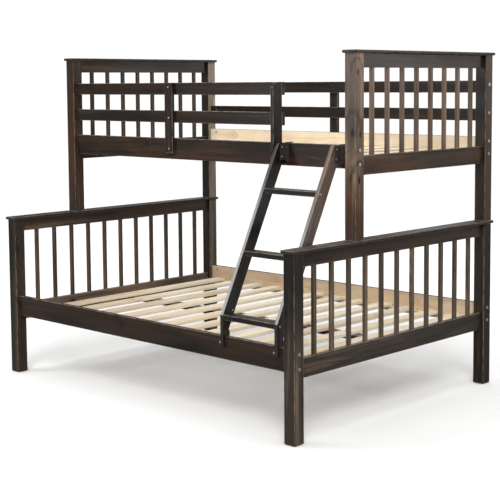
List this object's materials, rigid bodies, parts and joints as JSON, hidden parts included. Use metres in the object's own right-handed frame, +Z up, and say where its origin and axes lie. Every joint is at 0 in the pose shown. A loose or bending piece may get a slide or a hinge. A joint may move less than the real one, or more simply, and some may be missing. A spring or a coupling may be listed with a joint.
{
  "type": "bunk bed with ladder",
  "caption": "Dark-stained pine bunk bed, twin over full, with spindle end panels, capped posts, bolted side rails, slats, guard rails and a leaning ladder that hooks over the front rail.",
  "frame": {"origin": "on the floor, in the middle of the bed's length and width", "axes": "+X along the length to the ladder end, +Y from the ladder side to the back, +Z up"},
  "size_m": [2.033, 1.503, 1.658],
  "materials": {
    "espresso_wood": "semi-gloss espresso stain over pine, grain showing",
    "natural_pine": "planed bare pine, clear sealed",
    "zinc_steel": "bright zinc plated",
    "black_steel": "dark satin coated steel strap",
    "glide_plastic": "moulded dark nylon"
  },
  "bodies": {
    "bed": {"beam_seats": "espresso_wood", "floor_glides": "glide_plastic", "foot_catch_screws": "zinc_steel", "guard_board_back": "espresso_wood", "guard_board_front": "espresso_wood", "guard_grab_board": "espresso_wood", "guard_rail_back_lower": "espresso_wood", "guard_rail_back_upper": "espresso_wood", "guard_rail_front_lower": "espresso_wood", "guard_rail_front_upper": "espresso_wood", "guard_screws": "zinc_steel", "lower_barrel_nuts": "zinc_steel", "lower_bed_bolts": "zinc_steel", "lower_bottom_rail_left": "espresso_wood", "lower_bottom_rail_right": "espresso_wood", "lower_cap_left": "espresso_wood", "lower_cap_right": "espresso_wood", "lower_centre_beam": "espresso_wood", "lower_cleat_back": "natural_pine", "lower_cleat_front": "natural_pine", "lower_post_back_left": "espresso_wood", "lower_post_back_right": "espresso_wood", "lower_post_front_left": "espresso_wood", "lower_post_front_right": "espresso_wood", "lower_side_rail_back": "espresso_wood", "lower_side_rail_front": "espresso_wood", "lower_slats": "natural_pine", "lower_spindles_left": "espresso_wood", "lower_spindles_right": "espresso_wood", "lower_top_rail_left": "espresso_wood", "lower_top_rail_right": "espresso_wood", "slat_screws": "zinc_steel", "stacking_pins": "zinc_steel", "upper_barrel_nuts": "zinc_steel", "upper_bed_bolts": "zinc_steel", "upper_bottom_rail_left": "espresso_wood", "upper_bottom_rail_right": "espresso_wood", "upper_cap_left": "espresso_wood", "upper_cap_right": "espresso_wood", "upper_cleat_back": "natural_pine", "upper_cleat_front": "natural_pine", "upper_post_back_left": "espresso_wood", "upper_post_back_right": "espresso_wood", "upper_post_front_left": "espresso_wood", "upper_post_front_right": "espresso_wood", "upper_side_rail_back": "espresso_wood", "upper_side_rail_front": "espresso_wood", "upper_slats": "natural_pine", "upper_spindles_left": "espresso_wood", "upper_spindles_right": "espresso_wood", "upper_top_rail_left": "espresso_wood", "upper_top_rail_right": "espresso_wood"},
    "ladder": {"ladder_foot_saddles": "black_steel", "ladder_hooks": "black_steel", "ladder_rung_1": "espresso_wood", "ladder_rung_2": "espresso_wood", "ladder_rung_3": "espresso_wood", "ladder_screws": "zinc_steel", "ladder_stile_left": "espresso_wood", "ladder_stile_right": "espresso_wood"}
  },
  "joints": [
    {"name": "ladder_lift", "type": "slide", "parent": "bed", "child": "ladder", "axis": [0, 0, 1], "range_m": [0, 0.06]}
  ]
}
